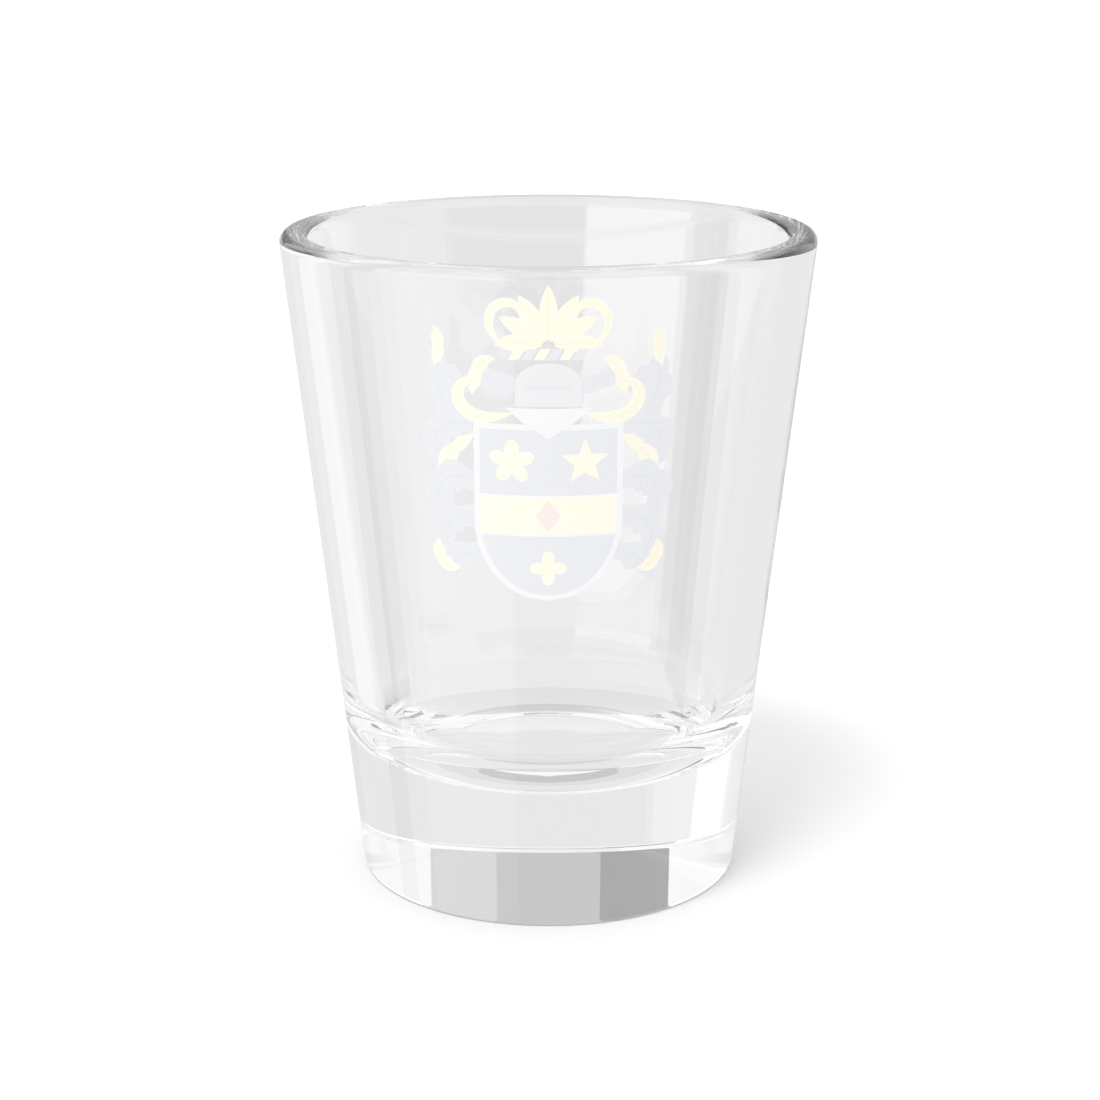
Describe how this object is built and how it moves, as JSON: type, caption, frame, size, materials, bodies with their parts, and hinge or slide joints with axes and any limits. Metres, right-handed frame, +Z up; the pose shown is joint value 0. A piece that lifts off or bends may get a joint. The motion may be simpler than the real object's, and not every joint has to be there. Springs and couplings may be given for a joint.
{
  "type": "shot glass",
  "caption": "Small tapered clear shot glass with a heavy solid base, a rounded lip and a pale heraldic emblem printed on the front of its wall.",
  "frame": {"origin": "centre of the flat foot, on the surface that the glass stands on", "axes": "+Z up along the glass's axis, -Y towards the viewer of the printed emblem, +X to that viewer's right"},
  "size_m": [0.048, 0.0481, 0.06],
  "materials": {
    "clear_glass": "polished",
    "enamel_gold": "satin",
    "enamel_azure": "satin",
    "enamel_rose": "satin",
    "enamel_silver": "satin",
    "enamel_steel": "satin"
  },
  "bodies": {
    "root": {"glass_body": "clear_glass", "shield_lozenge": "enamel_rose", "shield_rosette": "enamel_gold", "shield_star": "enamel_gold", "shield_quatrefoil": "enamel_gold", "shield_band": "enamel_gold", "shield_upper_field": "enamel_azure", "shield_lower_field": "enamel_azure", "shield_border": "enamel_silver", "helm_collar": "enamel_silver", "helm_visor": "enamel_azure", "helm_shell": "enamel_steel", "torse_twist_1": "enamel_gold", "torse_twist_2": "enamel_azure", "torse_twist_3": "enamel_gold", "torse_twist_4": "enamel_azure", "torse_twist_5": "enamel_gold", "torse_twist_6": "enamel_azure", "crest_leaf_1": "enamel_gold", "crest_leaf_2": "enamel_gold", "crest_leaf_3": "enamel_gold", "crest_leaf_4": "enamel_gold", "crest_leaf_5": "enamel_gold", "crest_leaf_6": "enamel_gold", "crest_leaf_7": "enamel_gold", "crest_tendril_right": "enamel_gold", "crest_tendril_left": "enamel_gold", "mantling_scroll_right": "enamel_gold", "mantling_scroll_left": "enamel_gold", "mantling_plume_right": "enamel_gold", "mantling_plume_left": "enamel_gold", "mantling_low_curl_right": "enamel_gold", "mantling_low_curl_left": "enamel_gold", "mantling_high_tip_right": "enamel_gold", "mantling_high_tip_left": "enamel_gold", "mantling_side_leaf_right": "enamel_azure", "mantling_side_leaf_left": "enamel_azure", "mantling_flank_leaf_right": "enamel_gold", "mantling_flank_leaf_left": "enamel_gold", "mantling_shoulder_leaf_right": "enamel_azure", "mantling_shoulder_leaf_left": "enamel_azure", "mantling_hip_leaf_right": "enamel_azure", "mantling_hip_leaf_left": "enamel_azure", "mantling_tail_leaf_right": "enamel_azure", "mantling_tail_leaf_left": "enamel_azure", "mantling_temple_leaf_right": "enamel_azure", "mantling_temple_leaf_left": "enamel_azure", "mantling_crown_leaf_right": "enamel_azure", "mantling_crown_leaf_left": "enamel_azure", "mantling_brow_leaf_right": "enamel_azure", "mantling_brow_leaf_left": "enamel_azure"}
  },
  "joints": []
}
